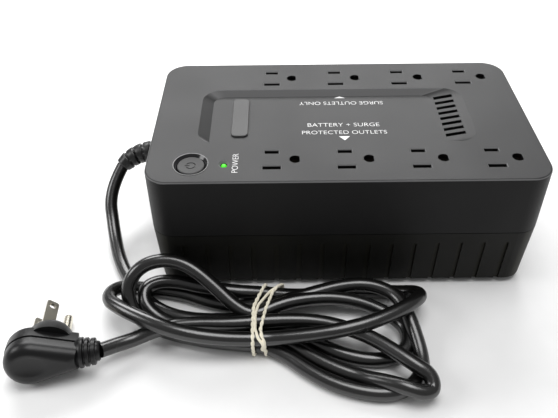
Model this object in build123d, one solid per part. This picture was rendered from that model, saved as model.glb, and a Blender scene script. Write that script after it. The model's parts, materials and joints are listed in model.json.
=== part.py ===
# Eight-outlet uninterruptible power supply that lies flat on a desk.
# Millimetres. +X runs along the case, +Y to the back outlet row, +Z up.
# The origin is the middle of the footprint, on the surface that the feet stand on.
from build123d import *
import math
import os

# ---------------------------------------------------------------- driving dimensions
CASE_LENGTH = 203.0
CASE_DEPTH = 112.5
TOP_Z = 76.0
FOOT_HEIGHT = 3.0
SEAM_Z = 40.0
CORNER_RADIUS = 12.0
WALL = 2.3
TOP_THICKNESS = 2.6
FLOOR_THICKNESS = 2.2
BASE_LEAN = 1.9            # how far the base walls lean in at the bottom

# North American duplex pattern (NEMA 5-15), slots lying along X
OUTLET_PITCH = 37.5
FIRST_OUTLET_X = -38.1
ROW_Y = 39.0
BLADE_OFFSET = 6.35        # from the middle of an outlet to each slot
GROUND_OFFSET = 11.9       # from the slots to the ground hole
SLOT_WIDTH = 2.4
HOT_SLOT = 7.2
NEUTRAL_SLOT = 9.1
GROUND_RADIUS = 3.0

# shallow recess along the middle of the top
RECESS_DEPTH = 3.2
RECESS_X = (-77.4, 70.6)
RECESS_Y = (-24.6, 26.8)
RECESS_FLOOR_X = (-71.4, 54.0)
RECESS_FLOOR_Y = (-23.9, 24.2)
VENT_COUNT = 8
VENT_PITCH = 5.1
VENT_X = (54.9, 65.2)
VENT_WIDTH = 2.5

GROOVE_COUNT = 15
GROOVE_PITCH = 12.1
GROOVE_WIDTH = 2.5
GROOVE_DEPTH = 1.3
GROOVE_TOP_Z = 33.0

BUTTON_X, BUTTON_Y = -78.7, -41.8
BUTTON_TRAVEL = 1.5
BEZEL_RADIUS = 8.9
BUTTON_RADIUS = 6.8
LED_X = -62.1
BREAKER_Y, BREAKER_Z = -30.0, 24.0
BREAKER_TRAVEL = 2.0

FOOT_X, FOOT_Y, FOOT_RADIUS = 90.5, 45.5, 6.0
SCREW_X, SCREW_Y, COLUMN_RADIUS = 91.8, 48.5, 2.6

BATTERY_SIZE = (150.0, 91.0, 50.0)
BATTERY_CENTRE_X = 18.5
BATTERY_LIFT = 1.2         # the battery stands on low ribs
DOOR_X, DOOR_Y = (-52.0, 88.0), (-36.0, 36.0)
CARRIER_Z = (57.0, 73.3)
CARRIER_X = (-47.5, 91.8)
CARRIER_HALF_WIDTH = 10.2
BOARD_Z = 58.4
TRANSFORMER_X, TRANSFORMER_Y = -76.0, 10.0

CORD_DIAMETER = 7.4
RELIEF_Y = 17.0
RELIEF_STRAIGHT = 7.5      # straight root of the strain relief
RELIEF_BEND_RADIUS = 26.0
RELIEF_BEND_ANGLE = 48.0
BAND_X = -43.0

# Where the plug lies: middle of its back, the way its blades point, the way its cord leaves
PLUG_ORIGIN = Vector(-153.1, -118.2, 15.0)
PLUG_BLADES_TO = Vector(-0.1544, 0.9605, -0.2317)
PLUG_CORD_TO = Vector(0.988, 0.1477, -0.0462)
PLUG_TURN = 36.0           # the blades are turned this far from the cord
PLUG_FACE = (8.0, -2.0, 21.0)   # middle of the face that the blades stand on
PLUG_LENGTH = 32.6         # from the middle of the head to the end of its strain relief
PLUG_CORD_Z = 8.2          # height of the cord's axis over the plug's back

# The lead runs out of the strain relief, down to the surface and forward to the hank.
LEAD_POINTS = [
    (-136.0, -1.0, 24.0),
    (-132.5, -18.0, 9.5),
    (-126.0, -39.5, 3.8),
]
LEAD_END = (-114.3, -59.0, 3.8)
# The tail runs from the hank to the plug.
TAIL_START = (-98.5, -87.6, 3.8)
TAIL_POINTS = [
    (-110.8, -94.2, 4.2),
]

OUTLET_X = [FIRST_OUTLET_X + OUTLET_PITCH * i for i in range(4)]
ROWS = {"front": -ROW_Y + 0.5, "rear": ROW_Y + 0.5}
BOTTOM_Z = FOOT_HEIGHT
INSIDE_Z = FOOT_HEIGHT + FLOOR_THICKNESS
CEILING_Z = TOP_Z - TOP_THICKNESS


# ---------------------------------------------------------------- small helpers
def save(node, shape):
    """Write one sub-part as parts/NODE.step."""
    export_step(shape, os.path.join("parts", node + ".step"))


def block(x, y, z):
    """A box between pairs of X, Y and Z limits."""
    size = [high - low for low, high in (x, y, z)]
    middle = [(high + low) / 2 for low, high in (x, y, z)]
    return Pos(*middle) * Box(*size)


def rod(x, y, z, radius):
    """An upright cylinder between the two heights in z."""
    return Pos(x, y, (z[0] + z[1]) / 2) * Cylinder(radius, z[1] - z[0])


def rod_x(x, y, z, radius):
    """A cylinder along X between the two places in x."""
    return Pos((x[0] + x[1]) / 2, y, z) * Rot(0, 90, 0) * Cylinder(radius, x[1] - x[0])


def rod_y(x, y, z, radius):
    """A cylinder along Y between the two places in y."""
    return Pos(x, (y[0] + y[1]) / 2, z) * Rot(90, 0, 0) * Cylinder(radius, y[1] - y[0])


def outline(inset):
    """The case's plan outline, drawn in by an inset."""
    return RectangleRounded(CASE_LENGTH - 2 * inset, CASE_DEPTH - 2 * inset, CORNER_RADIUS - inset)


def prism(inset, z):
    """The case's outline between two heights."""
    return Pos(0, 0, z[0]) * extrude(outline(inset), z[1] - z[0])


def tapered(inset_low, inset_high, z):
    """The case's outline, drawn in differently at two heights."""
    return loft([Pos(0, 0, z[0]) * outline(inset_low), Pos(0, 0, z[1]) * outline(inset_high)])


def limits_rectangle(x, y, radius):
    """A rounded rectangle between pairs of X and Y limits."""
    middle = Pos((x[0] + x[1]) / 2, (y[0] + y[1]) / 2)
    return middle * RectangleRounded(x[1] - x[0], y[1] - y[0], radius)


def corner_radii(points):
    """The largest tangent arc for each corner of a cord's route."""
    radii = []
    for before, here, after in zip(points, points[1:], points[2:]):
        arriving = Vector(*here) - Vector(*before)
        leaving = Vector(*after) - Vector(*here)
        half_turn = math.radians(arriving.get_angle(leaving)) / 2
        radii.append(0.45 * min(arriving.length, leaving.length) / math.tan(half_turn))
    return radii


def tube(points, diameter):
    """A round cord or wire along straight runs joined by tangent arcs."""
    path = FilletPolyline(*points, radius=corner_radii(points))
    section = Plane(origin=path @ 0, z_dir=path % 0) * Circle(diameter / 2)
    return sweep(section, path=path)


def report_cord(name, points, solid):
    """Print a cord's radii and compare its volume with its section times its length."""
    path = FilletPolyline(*points, radius=corner_radii(points))
    section = math.pi * CORD_DIAMETER ** 2 / 4
    radii = ", ".join(f"{radius:.0f}" for radius in corner_radii(points))
    print(f"{name}: length {path.length:.1f}, radii {radii}, volume ratio "
          f"{solid.volume / (section * path.length):.4f}")


# ---------------------------------------------------------------- outlet openings
def ground_hole(x, y, z, radius=GROUND_RADIUS):
    """A D-shaped ground hole, flat towards +X."""
    flat = block((x + 0.75 * radius, x + 2 * radius), (y - radius, y + radius), z)
    return rod(x, y, z, radius) - flat


def slot(x, y, length, z):
    """A blade slot with a small lead-in at its top."""
    straight = block((x - length / 2, x + length / 2), (y - SLOT_WIDTH / 2, y + SLOT_WIDTH / 2), z)
    mouth = Pos(x, y, TOP_Z) * Rectangle(length + 0.9, SLOT_WIDTH + 0.9)
    throat = Pos(x, y, TOP_Z - 0.45) * Rectangle(length, SLOT_WIDTH)
    return straight + loft([throat, mouth])


def outlet_cuts(row_y, z):
    """Slots and ground holes of one row of four outlets."""
    cuts = []
    for x in OUTLET_X:
        cuts.append(slot(x, row_y + BLADE_OFFSET, HOT_SLOT, z))
        cuts.append(slot(x, row_y - BLADE_OFFSET, NEUTRAL_SLOT, z))
        cuts.append(ground_hole(x + GROUND_OFFSET, row_y, z))
    return cuts


# ---------------------------------------------------------------- case
def recess_pocket():
    """The shallow pocket in the top: steep sides and a long ramp at its right end."""
    floor = limits_rectangle(RECESS_FLOOR_X, RECESS_FLOOR_Y, 6.5)
    rim = limits_rectangle(RECESS_X, RECESS_Y, 10.5)
    slope = loft([Pos(0, 0, TOP_Z - RECESS_DEPTH) * floor, Pos(0, 0, TOP_Z) * rim])
    return slope + Pos(0, 0, TOP_Z) * extrude(rim, 1)


def vent_cuts():
    """Eight slots across the recess's ramp."""
    first_y = 20.3
    return [block(VENT_X, (first_y - VENT_PITCH * i - VENT_WIDTH / 2,
                           first_y - VENT_PITCH * i + VENT_WIDTH / 2), (69, TOP_Z + 1))
            for i in range(VENT_COUNT)]


def relief_hole():
    """The round hole on the parting line where the strain relief's neck sits."""
    return rod_x((-CASE_LENGTH / 2 - 1, -CASE_LENGTH / 2 + 4), RELIEF_Y, SEAM_Z, 4.7)


def columns():
    """Long screw columns that hang from the top, with pilot holes for the case screws."""
    solids = []
    for sx in (-1, 1):
        for sy in (-1, 1):
            column = rod(sx * SCREW_X, sy * SCREW_Y, (INSIDE_Z + 0.3, CEILING_Z + 1), COLUMN_RADIUS)
            pilot = rod(sx * SCREW_X, sy * SCREW_Y, (INSIDE_Z, INSIDE_Z + 14), 1.15)
            solids.append(column - pilot)
    return solids


def make_top_cover():
    shell = prism(0, (SEAM_Z, TOP_Z))
    shell = fillet(shell.edges().group_by(Axis.Z)[-1], 1.0)
    shell -= prism(WALL, (SEAM_Z - 1, CEILING_Z))
    shell -= prism(1.1, (SEAM_Z - 1, SEAM_Z + 1.8))
    pad = limits_rectangle((RECESS_X[0] - 1, RECESS_X[1] + 1), (RECESS_Y[0] - 1, RECESS_Y[1] + 1), 9)
    pad_bottom = TOP_Z - RECESS_DEPTH - TOP_THICKNESS
    shell += Pos(0, 0, pad_bottom) * extrude(pad, CEILING_Z - pad_bottom + 0.5)
    shell += columns()
    pegs = [rod(x, y, (BOARD_Z + 1.6, 71), 2.2) - rod(x, y, (BOARD_Z, BOARD_Z + 8), 1.15)
            for x in (-44, 48) for y in (-20, 20)]
    pegs += [rod(x, y, (58.1, CEILING_Z + 0.5), 2.0) for x, y in ((-90, -37), (-66, -50))]
    shell += pegs
    shell -= recess_pocket()
    shell -= vent_cuts()
    for row_y in ROWS.values():
        shell -= outlet_cuts(row_y, (CEILING_Z - 2, TOP_Z + 1))
    shell -= rod(BUTTON_X, BUTTON_Y, (CEILING_Z - 2, TOP_Z + 1), BEZEL_RADIUS + 0.05)
    led_hole = rod(LED_X, BUTTON_Y, (CEILING_Z - 1, TOP_Z + 1), 1.75)
    countersink = Pos(LED_X, BUTTON_Y, TOP_Z - 0.55) * Cone(1.75, 2.85, 1.1)
    shell -= [led_hole, countersink, relief_hole()]
    return shell


def groove(x, side):
    """One upright groove with a round top in a leaning long wall; side is -1 or 1 in Y."""
    height = GROOVE_TOP_Z - BOTTOM_Z
    cutter = block((-GROOVE_WIDTH / 2, GROOVE_WIDTH / 2), (-GROOVE_DEPTH, GROOVE_DEPTH),
                   (-2, height - GROOVE_WIDTH / 2))
    cutter += rod_y(0, (-GROOVE_DEPTH, GROOVE_DEPTH), height - GROOVE_WIDTH / 2, GROOVE_WIDTH / 2)
    lean = math.degrees(math.atan2(BASE_LEAN, SEAM_Z - BOTTOM_Z))
    wall_y = side * (CASE_DEPTH / 2 - BASE_LEAN)
    return Pos(x, wall_y, BOTTOM_Z) * Rot(-side * lean, 0, 0) * cutter


def battery_ribs():
    """Low ribs on the floor that keep the battery in its place."""
    half = BATTERY_SIZE[1] / 2
    left = BATTERY_CENTRE_X - BATTERY_SIZE[0] / 2
    ribs = [block((left - 2.4, left - 0.4), (y - 12, y + 12), (INSIDE_Z - 0.5, INSIDE_Z + 9))
            for y in (-24, 24)]
    for side in (-1, 1):
        edge = side * (half + 1.4)
        ribs += [block((x - 8, x + 8), (edge - 1, edge + 1), (INSIDE_Z - 0.5, INSIDE_Z + 6))
                 for x in (-20, 20, 60)]
        ribs.append(block((-50, 88), (side * 40 - 1, side * 40 + 1), (INSIDE_Z - 0.5, INSIDE_Z + BATTERY_LIFT)))
    return ribs


def make_battery_door():
    """Door in the floor under the battery, with inner tabs and a grip of ridges."""
    x, y = DOOR_X, DOOR_Y
    door = block(x, y, (BOTTOM_Z + 0.25, INSIDE_Z))
    for tab_y in (-24, 24):
        door += block((x[0] - 4, x[0] + 4), (tab_y - 6, tab_y + 6), (INSIDE_Z + 0.05, INSIDE_Z + 1.0))
        door += block((x[1] - 4, x[1] + 2), (tab_y - 6, tab_y + 6), (INSIDE_Z + 0.05, INSIDE_Z + 1.0))
        door += block((x[0] + 1, x[0] + 4), (tab_y - 6, tab_y + 6), (INSIDE_Z - 0.2, INSIDE_Z + 1.0))
        door += block((x[1] - 4, x[1] - 1), (tab_y - 6, tab_y + 6), (INSIDE_Z - 0.2, INSIDE_Z + 1.0))
    grip = [block((76 - 3.5 * i, 77.4 - 3.5 * i), (-11, 11), (BOTTOM_Z, BOTTOM_Z + 0.9)) for i in range(6)]
    return door - grip


def make_base_case():
    rim_z = SEAM_Z - 0.35
    shell = tapered(BASE_LEAN, 0, (BOTTOM_Z, rim_z))
    shell = chamfer(shell.edges().group_by(Axis.Z)[0], 0.7)
    shell -= tapered(BASE_LEAN + WALL, WALL, (INSIDE_Z, rim_z + 0.01))
    shell += prism(1.25, (rim_z - 3, SEAM_Z + 1.6)) - prism(WALL + 0.6, (rim_z - 4, SEAM_Z + 2))
    for i in range(GROOVE_COUNT):
        x = GROOVE_PITCH * (i - (GROOVE_COUNT - 1) / 2)
        shell -= [groove(x, -1), groove(x, 1)]
    shell -= block((DOOR_X[0] - 0.3, DOOR_X[1] + 0.3), (DOOR_Y[0] - 0.3, DOOR_Y[1] + 0.3), (2, INSIDE_Z + 0.4))
    shell += battery_ribs()
    posts = [rod(TRANSFORMER_X, TRANSFORMER_Y + y, (INSIDE_Z - 0.5, 9.8), 3.4) for y in (-33, 33)]
    shell += posts
    shell -= [rod(TRANSFORMER_X, TRANSFORMER_Y + y, (INSIDE_Z, 12), 1.2) for y in (-33, 33)]
    for sx in (-1, 1):
        for sy in (-1, 1):
            shell -= rod(sx * SCREW_X, sy * SCREW_Y, (0, INSIDE_Z + 1), 1.6)
            shell -= rod(sx * SCREW_X, sy * SCREW_Y, (0, BOTTOM_Z + 1.3), 2.9)
    shell -= relief_hole()
    shell -= breaker_recess()
    return shell


def base_wall_x(z):
    """Outer face of the left base wall at a height."""
    return -(CASE_LENGTH / 2 - BASE_LEAN * (SEAM_Z - z) / (SEAM_Z - BOTTOM_Z))


def breaker_recess():
    """Finger recess round the reset button, and the hole for its bushing."""
    wall_x = base_wall_x(BREAKER_Z)
    cup = rod_x((wall_x - 3, wall_x + 1.2), BREAKER_Y, BREAKER_Z, 8.5)
    return cup + rod_x((wall_x - 3, wall_x + 6), BREAKER_Y, BREAKER_Z, 4.9)


def make_foot(x, y):
    foot = rod(x, y, (0, FOOT_HEIGHT), FOOT_RADIUS)
    return fillet(foot.edges().group_by(Axis.Z)[0], 0.8)


def make_case_screw(x, y):
    head = rod(x, y, (BOTTOM_Z + 0.2, BOTTOM_Z + 1.25), 2.5)
    shank = rod(x, y, (BOTTOM_Z + 1.2, BOTTOM_Z + 12), 1.1)
    cross = block((x - 1.3, x + 1.3), (y - 0.3, y + 0.3), (BOTTOM_Z, BOTTOM_Z + 0.8))
    cross += block((x - 0.3, x + 0.3), (y - 1.3, y + 1.3), (BOTTOM_Z, BOTTOM_Z + 0.8))
    return head + shank - cross


def make_badge():
    """Raised plate at the left of the recess."""
    plate = Pos(-55.5, 2.9, TOP_Z - RECESS_DEPTH) * extrude(RectangleRounded(9.2, 36.2, 2.8), 1.1)
    return fillet(plate.edges().group_by(Axis.Z)[-1], 0.5)


# ---------------------------------------------------------------- controls
def make_button_bezel():
    """Glossy ring that slopes down to the button."""
    ring = rod(BUTTON_X, BUTTON_Y, (70.4, TOP_Z + 0.2), BEZEL_RADIUS)
    ring -= rod(BUTTON_X, BUTTON_Y, (70, TOP_Z + 1), BUTTON_RADIUS + 0.35)
    slope = Pos(BUTTON_X, BUTTON_Y, TOP_Z - 0.5) * Cone(BUTTON_RADIUS + 0.35, BEZEL_RADIUS - 0.35, 1.4)
    return ring - slope


def power_symbol(z):
    """Broken ring and bar whose top points to -X."""
    ring = rod(BUTTON_X, BUTTON_Y, z, 2.5) - rod(BUTTON_X, BUTTON_Y, (z[0] - 1, z[1] + 1), 2.0)
    ring -= block((BUTTON_X - 3, BUTTON_X), (BUTTON_Y - 0.9, BUTTON_Y + 0.9), (z[0] - 1, z[1] + 1))
    return ring + block((BUTTON_X - 3.1, BUTTON_X - 0.6), (BUTTON_Y - 0.25, BUTTON_Y + 0.25), z)


def make_power_button():
    top = TOP_Z - 0.6
    cap = rod(BUTTON_X, BUTTON_Y, (70.6, top), BUTTON_RADIUS)
    cap = fillet(cap.edges().group_by(Axis.Z)[-1], 0.5)
    dish_radius = 60.0
    cap -= Pos(BUTTON_X, BUTTON_Y, top - 0.3 + dish_radius) * Sphere(dish_radius)
    cap -= power_symbol((top - 0.65, top + 1))
    skirt = rod(BUTTON_X, BUTTON_Y, (68.6, 70.1), BUTTON_RADIUS + 1.2)
    neck = rod(BUTTON_X, BUTTON_Y, (70.0, 70.7), BUTTON_RADIUS)
    stem = rod(BUTTON_X, BUTTON_Y, (65.2, 68.7), 2.0)
    return cap + skirt + neck + stem


def make_button_spring():
    """Return spring between the button board and the button's skirt."""
    wire, radius, height, pitch = 0.7, 5.2, 9.3, 2.3
    coil = Helix(pitch=pitch, height=height, radius=radius)
    section = Plane(origin=coil @ 0, z_dir=coil % 0) * Circle(wire / 2)
    return Pos(BUTTON_X, BUTTON_Y, 58.65) * sweep(section, path=coil)


def make_button_board():
    board = block((-94, -56.5), (-52.0, -34.4), (56.5, 58.1))
    board -= rod(-SCREW_X, -SCREW_Y, (56, 59), COLUMN_RADIUS + 0.4)
    board -= [rod(x, y, (56, 59), 1.2) for x, y in ((-90, -37), (-66, -50))]
    return board


def make_switch_body():
    body = block((BUTTON_X - 3.2, BUTTON_X + 3.2), (BUTTON_Y - 3.2, BUTTON_Y + 3.2), (58.1, 61.4))
    return body - rod(BUTTON_X, BUTTON_Y, (59, 62), 2.1)


def make_switch_plunger():
    return rod(BUTTON_X, BUTTON_Y, (60.6, 64.9), 1.75)


def make_status_led():
    lens = rod(LED_X, BUTTON_Y, (66, TOP_Z - 1.9), 1.5) + Pos(LED_X, BUTTON_Y, TOP_Z - 1.9) * Sphere(1.5)
    collar = rod(LED_X, BUTTON_Y, (65, 66.5), 1.9)
    legs = [rod(LED_X, BUTTON_Y + side, (58.1, 65.5), 0.3) for side in (-1.0, 1.0)]
    return lens + collar + legs


def make_breaker_body():
    wall_x = base_wall_x(BREAKER_Z)
    inside_x = base_wall_x(BREAKER_Z - 9) + WALL + 0.2
    body = block((inside_x, inside_x + 22), (BREAKER_Y - 7, BREAKER_Y + 7), (BREAKER_Z - 9, BREAKER_Z + 9))
    bushing = rod_x((wall_x + 1.0, inside_x + 1), BREAKER_Y, BREAKER_Z, 4.7)
    tabs = [block((inside_x + 21, inside_x + 28), (BREAKER_Y - 3.2, BREAKER_Y + 3.2), (z - 0.4, z + 0.4))
            for z in (BREAKER_Z - 5, BREAKER_Z + 5)]
    bore = rod_x((wall_x - 1, inside_x + 8), BREAKER_Y, BREAKER_Z, 3.3)
    return body + bushing + tabs - bore


def make_breaker_button():
    wall_x = base_wall_x(BREAKER_Z)
    button = rod_x((wall_x + 0.3 + BREAKER_TRAVEL, wall_x + 8.5), BREAKER_Y, BREAKER_Z, 2.9)
    return fillet(button.edges().group_by(Axis.X)[0], 0.5)


# ---------------------------------------------------------------- outlets
def make_carrier(row_y):
    """Moulded block under a row, with a pocket for each contact and channels for the bars."""
    z0, z1 = CARRIER_Z
    carrier = block(CARRIER_X, (row_y - CARRIER_HALF_WIDTH, row_y + CARRIER_HALF_WIDTH), CARRIER_Z)
    ceiling = z1 - 1.8
    for x in OUTLET_X:
        for side in (-1, 1):
            y = row_y + side * BLADE_OFFSET
            carrier -= block((x - 5.4, x + 5.4), (y - 2.5, y + 2.5), (z0 - 1, ceiling))
        carrier -= rod(x + GROUND_OFFSET, row_y, (z0 - 1, ceiling), 3.4)
    for offset in (-BLADE_OFFSET, 0, BLADE_OFFSET):
        y = row_y + offset
        half = 1.9 if offset == 0 else 2.5
        carrier -= block((CARRIER_X[0] + 2, OUTLET_X[-1] + 13), (y - half, y + half), (z0 - 1, z0 + 1.6))
    carrier -= outlet_cuts(row_y, (ceiling - 1, TOP_Z))
    for sx in (-1, 1):
        for sy in (-1, 1):
            carrier -= rod(sx * SCREW_X, sy * SCREW_Y, (z0 - 1, z1 + 1), COLUMN_RADIUS + 0.4)
    return carrier


def make_blade_bar(row_y, side):
    """Brass bar with two spring leaves under each slot of one row."""
    z0 = CARRIER_Z[0] + 0.5
    y = row_y + side * BLADE_OFFSET
    bar = block((OUTLET_X[0] - 4, OUTLET_X[-1] + 4), (y - 2.2, y + 2.2), (z0, z0 + 0.8))
    for x in OUTLET_X:
        for leaf in (-1, 1):
            middle = y + leaf * 1.05
            bar += block((x - 3.8, x + 3.8), (middle - 0.3, middle + 0.3), (z0 + 0.5, z0 + 11.5))
    return bar


def make_ground_bar(row_y):
    """Brass bar with a split socket under each ground hole of one row."""
    z0 = CARRIER_Z[0] + 0.5
    left = OUTLET_X[0] + GROUND_OFFSET
    right = OUTLET_X[-1] + GROUND_OFFSET
    bar = block((left - 3, right), (row_y - 1.6, row_y + 1.6), (z0, z0 + 0.8))
    for x in OUTLET_X:
        socket = rod(x + GROUND_OFFSET, row_y, (z0, z0 + 12.4), 3.1)
        socket -= rod(x + GROUND_OFFSET, row_y, (z0 + 0.8, z0 + 13), 2.55)
        slit = block((x + GROUND_OFFSET, x + GROUND_OFFSET + 4), (row_y - 0.4, row_y + 0.4), (z0 + 3, z0 + 13))
        bar += socket - slit
    return bar


# ---------------------------------------------------------------- power parts
def battery_box():
    length, depth, height = BATTERY_SIZE
    x = BATTERY_CENTRE_X
    return (x - length / 2, x + length / 2), (-depth / 2, depth / 2), (INSIDE_Z + BATTERY_LIFT, INSIDE_Z + BATTERY_LIFT + height)


def make_battery():
    """Sealed lead-acid battery on its side, with its lid line and terminal recesses at the left."""
    x, y, z = battery_box()
    body = fillet(block(x, y, z).edges().filter_by(Axis.X), 1.5)
    groove_x = (x[0] + 14, x[0] + 14.8)
    line = block(groove_x, (y[0] - 1, y[1] + 1), (z[0] - 1, z[1] + 1))
    line -= block((groove_x[0] - 1, groove_x[1] + 1), (y[0] + 0.5, y[1] - 0.5), (z[0] + 0.5, z[1] - 0.5))
    return body - line


def terminal_places():
    return {"red": (-38.0, 45.0), "black": (39.5, 45.0)}


def make_battery_terminals():
    x = battery_box()[0][0]
    tabs = [block((x - 6.3, x), (y - 2.4, y + 2.4), (z - 0.4, z + 0.4)) for y, z in terminal_places().values()]
    return Compound(children=tabs)


def make_battery_pads():
    """Foam strips that fill the gap between the battery and the outlet carriers."""
    top = battery_box()[2][1]
    pads = [block((-40, 80), (y - 3, y + 3), (top, CARRIER_Z[0])) for y in (-26.0, 26.0)]
    return Compound(children=pads)


def make_battery_lead(name):
    y, z = terminal_places()[name]
    x = battery_box()[0][0] - 6.3
    side = math.copysign(1, y)
    points = [(x - 1.6, y, z), (x - 1.9, y - side, z + 4.5), (x + 1.6, y - side * 6, z + 11),
              (x + 8, y - side * 14, z + 16), (x + 16.5, y - side * 24.5, z + 16.7)]
    return tube(points, 3.0)


def make_transformer_core():
    """Stack of E and I laminations, with the two windows filled by the winding."""
    x, y = TRANSFORMER_X, TRANSFORMER_Y
    core = block((x - 10, x + 10), (y - 27, y + 27), (10.2, 55.2))
    return core - block((x - 11, x + 11), (y - 18, y + 18), (17.7, 47.7)) + \
        block((x - 10, x + 10), (y - 9, y + 9), (17, 48.5))


def make_transformer_winding():
    x, y = TRANSFORMER_X, TRANSFORMER_Y
    coil = block((x - 17, x + 17), (y - 17.6, y + 17.6), (18.2, 47.2))
    coil = fillet(coil.edges().filter_by(Axis.Z), 5)
    return coil - block((x - 10.3, x + 10.3), (y - 9.3, y + 9.3), (17, 49))


def make_transformer_bracket():
    """Steel strap over the core with a foot at each end."""
    x, y = TRANSFORMER_X, TRANSFORMER_Y
    strap = block((x - 8, x + 8), (y - 28.4, y + 28.4), (9.9, 56.6))
    strap -= block((x - 9, x + 9), (y - 27.2, y + 27.2), (9, 55.4))
    feet = [block((x - 6, x + 6), (y + side * 33 - 5.6, y + side * 33 + 5.6), (9.9, 11.1)) for side in (-1, 1)]
    strap += feet
    return strap - [rod(x, y + side * 33, (9, 12), 1.7) for side in (-1, 1)]


def make_transformer_screw(side):
    y = TRANSFORMER_Y + side * 33
    head = rod(TRANSFORMER_X, y, (11.15, 12.8), 3.0)
    return head + rod(TRANSFORMER_X, y, (6.5, 11.3), 1.1)


# ---------------------------------------------------------------- main board
def make_main_board():
    board = block((-50, 92), (-24.5, 24.5), (BOARD_Z, BOARD_Z + 1.6))
    board -= [rod(x, y, (BOARD_Z - 1, BOARD_Z + 3), 1.5) for x in (-44, 48) for y in (-20, 20)]
    chips = [block((x, x + 9), (y, y + 5), (BOARD_Z + 1.5, BOARD_Z + 3.2)) for x, y in ((4, -6), (12, 10), (70, -14))]
    return board + chips


def on_board(x, y, height):
    """A rectangular component standing on the main board."""
    return block(x, y, (BOARD_Z + 1.6, BOARD_Z + 1.6 + height))


def make_capacitor(x, y):
    can = rod_x((x, x + 18), y, BOARD_Z + 1.6 + 5.0, 5.0)
    neck = rod_x((x + 14.4, x + 15.2), y, BOARD_Z + 1.6 + 5.0, 6) - rod_x((x + 14, x + 16), y, BOARD_Z + 6.6, 4.7)
    return can - neck


def make_heat_sink():
    """Low aluminium extrusion with fins along X."""
    sink = on_board((52, 88), (4, 23), 2.2)
    sink = Pos(0, 0, 4.6) * sink
    for i in range(6):
        y = 4.5 + 3.5 * i
        sink += Pos(0, 0, 6.0) * on_board((52, 88), (y, y + 1), 2.6)
    return sink


def make_power_transistors():
    return Compound(children=[on_board((54 + 9 * i, 61 + 9 * i), (5, 21), 4.5) for i in range(4)])


def make_fuse():
    z = BOARD_Z + 1.6 + 3.4
    glass = rod_x((-30, -16), -15, z, 2.4)
    caps = [rod_x((x, x + 5), -15, z, 2.7) for x in (-33, -18)]
    clips = [on_board((x, x + 3), (-17.6, -12.4), 2.4) for x in (-32, -17)]
    return glass + caps + clips


def make_varistors():
    return Compound(children=[rod(x, -14, (BOARD_Z + 1.6, BOARD_Z + 5.6), 5.2) for x in (-5, 7, 19)])


def make_buzzer():
    buzzer = rod(34, -12, (BOARD_Z + 1.6, BOARD_Z + 10.0), 6.0)
    return buzzer - rod(34, -12, (BOARD_Z + 8.5, BOARD_Z + 11), 1.2)


def make_board_screws():
    screws = []
    for x in (-44, 48):
        for y in (-20, 20):
            head = rod(x, y, (BOARD_Z - 1.2, BOARD_Z - 0.05), 2.3)
            screws.append(head + rod(x, y, (BOARD_Z - 0.1, BOARD_Z + 7), 1.1))
    return Compound(children=screws)


def make_line_wires():
    """Line, neutral and ground from the cord to the main board."""
    wires = []
    for i, offset in enumerate((-2.4, 0.0, 2.4)):
        y = RELIEF_Y + offset
        points = [(-95.4, y, SEAM_Z), (-94.6, y, SEAM_Z + 4), (-94.8 + 0.4 * i, y - 1, 56),
                  (-84, y - 4, 64.5), (-66, y - 6, 66.5), (-52, y - 8, 64.5), (-45 + i, y - 10, 61.4)]
        wires.append(tube(points, 2.0))
    return Compound(children=wires)


# ---------------------------------------------------------------- cord
def relief_station(distance):
    """A place on the strain relief's centre line and the way it points there."""
    start = Vector(-CASE_LENGTH / 2, RELIEF_Y, SEAM_Z)
    sideways = Vector(0, -0.66, -0.7513)
    if distance <= RELIEF_STRAIGHT:
        return start + Vector(-distance, 0, 0), Vector(-1, 0, 0)
    angle = (distance - RELIEF_STRAIGHT) / RELIEF_BEND_RADIUS
    place = start + Vector(-RELIEF_STRAIGHT - RELIEF_BEND_RADIUS * math.sin(angle), 0, 0)
    place += sideways * (RELIEF_BEND_RADIUS * (1 - math.cos(angle)))
    return place, Vector(-math.cos(angle), 0, 0) + sideways * math.sin(angle)


RELIEF_LENGTH = RELIEF_STRAIGHT + RELIEF_BEND_RADIUS * math.radians(RELIEF_BEND_ANGLE)


def make_strain_relief():
    """Flanged neck in the wall and a tapered boot of ribs that bends down with the cord."""
    wall_x = -CASE_LENGTH / 2
    inner = rod_x((wall_x + WALL + 0.45, wall_x + WALL + 2.4), RELIEF_Y, SEAM_Z, 6.6)
    neck = rod_x((wall_x - 0.5, wall_x + WALL + 0.6), RELIEF_Y, SEAM_Z, 4.5)
    flange = rod_x((wall_x - 2.4, wall_x - 0.3), RELIEF_Y, SEAM_Z, 7.0)
    relief = inner + neck + flange
    stations = [relief_station(RELIEF_LENGTH * i / 10) for i in range(1, 11)]
    centres = [relief_station(2.0)[0]] + [place for place, _ in stations]
    sections = []
    for i, (place, direction) in enumerate([relief_station(2.0)] + stations[1:]):
        sections.append(Plane(origin=place, z_dir=direction) * Circle(5.0 - 0.075 * i))
    relief += loft(sections)
    for i in range(4):
        place, direction = relief_station(6.2 + i * (RELIEF_LENGTH - 7.4) / 3)
        rib = extrude(Plane(origin=place - direction * 1.2, z_dir=direction) * Circle(6.3 - 0.35 * i), 2.4)
        relief += rib
    return relief


def lead_points():
    return [tuple(relief_station(RELIEF_LENGTH)[0])] + LEAD_POINTS + [LEAD_END]


def hull_of_circles(circles):
    """The convex outline round circles given as (x, y, radius)."""
    outlines = [(Pos(x, y) * Circle(radius)).edge() for x, y, radius in circles]
    return make_face(make_hull(outlines))


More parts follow.
